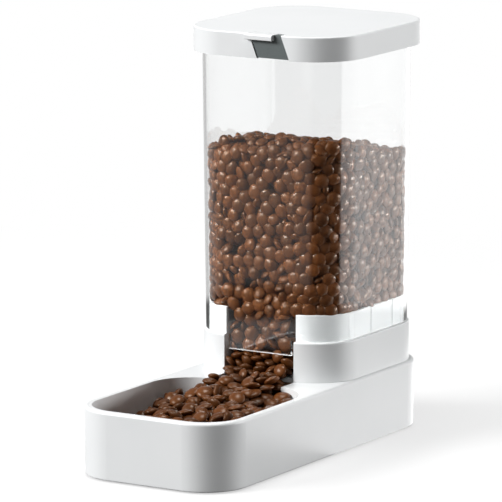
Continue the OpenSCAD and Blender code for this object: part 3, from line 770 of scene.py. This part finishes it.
def settle(pieces, still):
    """Lets pieces fall and come to rest among still shapes. It runs at a hundred times the real size,
    because Bullet is made for larger things."""
    centres, rotation, size = (part.copy() for part in pieces)
    scn = bpy.context.scene
    unit, faces = pellet_shape(9, 5)
    bpy.ops.rigidbody.world_add()
    bullet = scn.rigidbody_world
    bullet.substeps_per_frame = 10
    bullet.solver_iterations = 16
    bullet.point_cache.frame_start = 1
    bullet.point_cache.frame_end = SETTLE_FRAMES
    gravity = scn.gravity.copy()
    scn.gravity = SETTLE_GRAVITY
    fixed = [add_mesh("still", np.array(verts) * SETTLE_SCALE, quads) for verts, quads, _ in still]
    enrol(fixed, "PASSIVE")
    for obj, (_, _, shape) in zip(fixed, still):
        obj.rigid_body.collision_shape = shape
    moving = []
    for centre, turn, half in zip(centres, rotation, size):
        obj = add_mesh("piece", unit * half * SETTLE_SCALE, faces)
        place = Matrix.Translation(Vector(centre * SETTLE_SCALE))
        obj.matrix_world = place @ Matrix(turn.tolist()).to_4x4()
        moving.append(obj)
    bpy.context.view_layer.update()
    enrol(moving, "ACTIVE")
    for obj in moving:
        obj.rigid_body.collision_shape = "CONVEX_HULL"
        obj.rigid_body.mass = 1.0
        obj.rigid_body.linear_damping = 0.2
        obj.rigid_body.angular_damping = 0.3
    for step in range(1, SETTLE_FRAMES + 1):
        scn.frame_set(step)
    graph = bpy.context.evaluated_depsgraph_get()
    for i, obj in enumerate(moving):
        place = np.array(obj.evaluated_get(graph).matrix_world)
        centres[i] = place[:3, 3] / SETTLE_SCALE
        rotation[i] = place[:3, :3]
    scn.frame_set(1)
    scn.gravity = gravity
    bpy.ops.rigidbody.world_remove()
    for obj in fixed + moving:
        mesh = obj.data
        bpy.data.objects.remove(obj)
        bpy.data.meshes.remove(mesh)
    return centres, rotation, size


def still_node(name):
    """A node of the frame as a still shape."""
    mesh = nodes[name].data
    verts = np.array([v.co for v in mesh.vertices]) / MM
    verts[:, 1] -= front_m / MM
    mesh.calc_loop_triangles()
    return verts, [tuple(t.vertices) for t in mesh.loop_triangles], "MESH"


def still_shapes():
    """What the pieces fall among: boxes for the collar's sides, the tongue, the back of the duct and the
    channel's floor, then the cores, the tray and the ramp."""
    boxes = [
        ((CHANNEL_HALF - 1, COLLAR_FRONT, GUARD_LOW), (GUARD_HALF, BACK_STOP, GUARD_TOP)),
        ((-GUARD_HALF, COLLAR_FRONT, GUARD_LOW), (1 - CHANNEL_HALF, BACK_STOP, GUARD_TOP)),
        ((-TONGUE_HALF - 4, 146, TONGUE_Z), (TONGUE_HALF + 4, 157.6, GUARD_TOP)),
        ((-GUARD_HALF, BACK_STOP, GUARD_LOW), (GUARD_HALF, BACK_STOP + 8, GUARD_TOP)),
        ((-28.8, 152, 30), (28.8, 182, 44)),
    ]
    shapes = [(*box_shape(lo, hi), "CONVEX_HULL") for lo, hi in boxes]
    shapes += [(*bowl_core, "MESH"), (*channel_core, "MESH")]
    return shapes + [still_node("top_tray"), still_node("feed_ramp")]


def loose_start():
    """Pieces in layers above the heap, and in a column behind the tongue, none touching another."""
    layers = []
    for count, drop in ((100, 6), (100, -6.5), (92, -15.5)):
        centres, rotation, size = surface_layer(count, 5.7, (-50, 58), (8, 150), in_bowl(5.8), heap_top,
                                                drop, 0.5, even=True)
        layers.append((centres, rotation, size * LOOSE_SCALE))
    levels = np.arange(COLUMN_LOW, COLUMN_LOW + COLUMN_STEP * COLUMN_ROWS, COLUMN_STEP)
    across = np.linspace(-COLUMN_HALF, COLUMN_HALF, 5)
    spots = [(x, y, z) for z in levels for y in COLUMN_Y for x in across]
    spots = [spot for spot in spots if spot[2] > ramp_z(spot[1]) + 6]
    spots = np.array(spots) + rng.uniform(-0.2, 0.2, (len(spots), 3))
    up = np.tile([0.0, 0.0, 1.0], (len(spots), 1))
    turned = axes_from(up, rng.uniform(0, 1.5, len(spots)), rng.uniform(0, 6.28, len(spots)))
    return join(*layers, (spots, turned, sizes(len(spots))))


def rested(pieces):
    """Only the pieces that came to rest where food belongs."""
    c = pieces[0]
    lane = (np.abs(c[:, 0]) < CHANNEL_HALF + 6) & (c[:, 1] > BOWL_BACK - 14) & (c[:, 1] < BACK_STOP)
    low = (c[:, 2] > BOWL_FLOOR) & (c[:, 2] < NECK_TOP + 1.5)
    on_rim = (c[:, 0] > 24) & (c[:, 1] > BOWL_BACK - 60) & (c[:, 2] > BOWL_RIM - 5)
    return split(pieces, (rounded_bowl(c[:, :2], 2.0) | lane) & low & ~on_rim)


loose = rested(settle(loose_start(), still_shapes()))
at_outlet = loose[0][:, 1] > OUTLET_FROM
further_in = (loose[0][:, 1] > DUCT_FROM) | (loose[0][:, 2] < TONGUE_Z + 1)
heap_part = split(loose, ~at_outlet)


def bed_on_ramp():
    """The top of the food in the duct, which shows when the hopper is lifted off."""
    def inside(p):
        return np.abs(p[:, 0]) < 24.2

    def level(x, _):
        return np.full(np.shape(x), feed_hi[2])

    return surface_layer(80, 4.4, (-25, 25), (166, feed_hi[1] - 5), inside, level, 0.8, 0.5)


feed_part = join(split(loose, at_outlet & further_in), split(front_wall, behind_tongue(front_wall)),
                 bed_on_ramp())

# ---------- the pieces of the scene ----------


def closed(name, shape, body):
    verts, faces = shape
    mesh = bpy.data.meshes.new(name)
    mesh.from_pydata([tuple(p) for p in to_model(np.array(verts))], [], faces)
    mesh.update()
    return food_piece(name, mesh, body)


food_hopper = pellets("food_in_hopper", *hopper_part, "hopper")
pellets("food_on_top", *join(top_part, under_part), "hopper")
food_feed = pellets("food_in_outlet", *feed_part, "base")
food_bowl = pellets("food_in_bowl", *heap_part, "base", segments=16, bands=8)
closed("food_core_hopper", hopper_core(), "hopper")
closed("food_core_bowl", bowl_core, "base")
closed("food_core_channel", channel_core, "base")
closed("food_core_outlet", outlet_core(), "base")

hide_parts("kibble_hopper")
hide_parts("kibble_feed")
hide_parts("kibble_bowl")

# ---------- studio ----------

scene = bpy.context.scene
FLOOR_HALF = 14.0
PAINTED_REFLECTION_MOST = 2.9
WORLD_DIM = 0.04
WORLD_MIRRORED = 0.4


def math_node(tree, operation, first, second, clamp=False):
    made = node(tree, "ShaderNodeMath", operation=operation, use_clamp=clamp)
    for socket, value in zip(made.inputs, (first, second)):
        if isinstance(value, (int, float)):
            socket.default_value = value
        else:
            tree.links.new(value, socket)
    return made.outputs[0]


def sight(tree):
    """Two shares, each 1 or 0: where the camera looks straight or through the clear walls, and where it
    looks by a mirror. Light that has met a matt surface has neither."""
    path = node(tree, "ShaderNodeLightPath").outputs
    matt = math_node(tree, "MULTIPLY", path["Diffuse Depth"], 1.0, clamp=True)
    mirror = math_node(tree, "MULTIPLY", path["Glossy Depth"], 1.0, clamp=True)
    through = math_node(tree, "SUBTRACT", path["Is Transmission Ray"], mirror, clamp=True)
    direct = math_node(tree, "MAXIMUM", path["Is Camera Ray"], through)
    return (math_node(tree, "SUBTRACT", direct, matt, clamp=True),
            math_node(tree, "SUBTRACT", mirror, matt, clamp=True))


def steps(tree, source, low, high, stops):
    """A value that follows stops (place, value) between two limits of the source."""
    curve = tree.nodes.new("ShaderNodeValToRGB")
    while len(curve.color_ramp.elements) < len(stops):
        curve.color_ramp.elements.new(0.5)
    for element, (place, value) in zip(curve.color_ramp.elements, stops):
        element.position = (place - low) / (high - low)
        element.color = (value, value, value, 1)
    tree.links.new(remap(tree, source, 0, 1, (low, high)), curve.inputs["Fac"])
    return curve.outputs["Color"]


def floor_paper():
    """Pale paper. The camera sees it nearly white with the feeder's soft shadow on it, and it lights the
    feeder only a little. In mirrors it glows with a painted reflection, bright to the right rear, dimmer in
    front, and dark before the rounded corners: it paints the light veil on the clear walls and the sheen and
    shade on the feeder's glossy faces, the darker rounded corners among them."""
    material, tree, out = blank_material("floor_paper")
    dim = node(tree, "ShaderNodeBsdfDiffuse", Color=(0.1, 0.1, 0.1, 1))
    pale = node(tree, "ShaderNodeBsdfDiffuse", Color=(0.9, 0.9, 0.9, 1))
    glow = node(tree, "ShaderNodeEmission", Strength=1.0)
    coords = node(tree, "ShaderNodeTexCoord")
    apart = node(tree, "ShaderNodeSeparateXYZ")
    far = node(tree, "ShaderNodeVectorMath", operation="LENGTH")
    tree.links.new(coords.outputs["Object"], apart.inputs["Vector"])
    tree.links.new(coords.outputs["Object"], far.inputs[0])
    away = far.outputs["Value"]
    white = mix_shader(tree, remap(tree, away, 0.6, 1.0, (0.6, 0.9)),
                       pale.outputs["BSDF"], glow.outputs["Emission"])
    ahead = math_node(tree, "MULTIPLY", apart.outputs["Y"], -1.0)
    turn = math_node(tree, "ARCTAN2", apart.outputs["X"], ahead)
    degrees = math_node(tree, "DEGREES", turn, 0.0)
    # Painted reflection: how bright the floor glows in mirrors, by direction around the feeder and by
    # distance from it
    around = steps(tree, degrees, -180, 180,
                   [(-180, 1), (-130, 0.5), (-60, 0.25), (15, 0.25), (27, 0.01), (94, 0.01), (99, 1)])
    outward = steps(tree, away, 0, 2,
                    [(0.33, 1), (0.36, 0.75), (0.4, 0.75), (0.43, 0.08), (0.53, 0.08), (0.57, 0.45)])
    # The glow that the feeder's glossy faces mirror, a painted reflection where no lamp stands
    painted_reflection = node(tree, "ShaderNodeEmission")
    strength = math_node(tree, "MULTIPLY", math_node(tree, "MULTIPLY", around, outward), PAINTED_REFLECTION_MOST)
    tree.links.new(strength, painted_reflection.inputs["Strength"])
    direct, mirror = sight(tree)
    plain = mix_shader(tree, direct, dim.outputs["BSDF"], white)
    seen = mix_shader(tree, mirror, plain, painted_reflection.outputs["Emission"])
    tree.links.new(seen, out.inputs["Surface"])
    return material


def floor():
    mesh = bpy.data.meshes.new("floor")
    h = FLOOR_HALF
    mesh.from_pydata([(-h, -h, 0), (h, -h, 0), (h, h, 0), (-h, h, 0)], [], [(0, 1, 2, 3)])
    mesh.materials.append(floor_paper())
    obj = bpy.data.objects.new("floor", mesh)
    scene.collection.objects.link(obj)


def world():
    """White where the camera looks at it, dimmer in mirrors, and hardly lighting the feeder."""
    made = bpy.data.worlds.new("studio")
    scene.world = made
    made.use_nodes = True
    tree = made.node_tree
    tree.nodes.clear()
    out = node(tree, "ShaderNodeOutputWorld")
    direct, mirror = sight(tree)
    share = math_node(tree, "ADD", direct, math_node(tree, "MULTIPLY", mirror, WORLD_MIRRORED), clamp=True)
    paper = node(tree, "ShaderNodeBackground")
    tree.links.new(remap(tree, share, WORLD_DIM, 1.0, (0, 1)), paper.inputs["Strength"])
    tree.links.new(paper.outputs["Background"], out.inputs["Surface"])


def lamp(name, azimuth, elevation, distance, width, height, power):
    """A softbox that looks at the feeder; azimuth is 0 in front and 90 to the right."""
    a, e = math.radians(azimuth), math.radians(elevation)
    towards = Vector((math.sin(a) * math.cos(e), -math.cos(a) * math.cos(e), math.sin(e)))
    light = bpy.data.lights.new(name, "AREA")
    light.shape = "RECTANGLE"
    light.size, light.size_y = width, height
    light.energy = power
    obj = bpy.data.objects.new(name, light)
    obj.location = LAMP_TARGET + towards * distance
    obj.rotation_euler = towards.to_track_quat("Z", "Y").to_euler()
    obj.visible_camera = False
    scene.collection.objects.link(obj)


LAMP_TARGET = Vector((0, 0, 0.12))
floor()
world()
lamp("lamp_left", -42, 27, 6.0, 3.6, 2.0, 455)
lamp("lamp_right", 126, 4, 6.0, 4.0, 1.0, 250)
lamp("lamp_top", 0, 89, 3.0, 1.2, 1.2, 62)

# ---------- camera, fitted to the photograph's edges ----------

CAMERA_LENS = 363.5
CAMERA_SENSOR = 36
CAMERA_PLACE = (1.84875, -3.03422, 0.80606)
CAMERA_LOOKS_DOWN = 0.1844
CAMERA_ROLL = 0.0013
CAMERA_HEADING = 0.54782

camera = bpy.data.cameras.new("camera")
camera.lens = CAMERA_LENS
camera.sensor_width = CAMERA_SENSOR
camera_object = bpy.data.objects.new("camera", camera)
camera_object.location = CAMERA_PLACE
camera_object.rotation_euler = (math.pi / 2 - CAMERA_LOOKS_DOWN, CAMERA_ROLL, CAMERA_HEADING)
scene.collection.objects.link(camera_object)
scene.camera = camera_object
scene.view_settings.view_transform = "Standard"
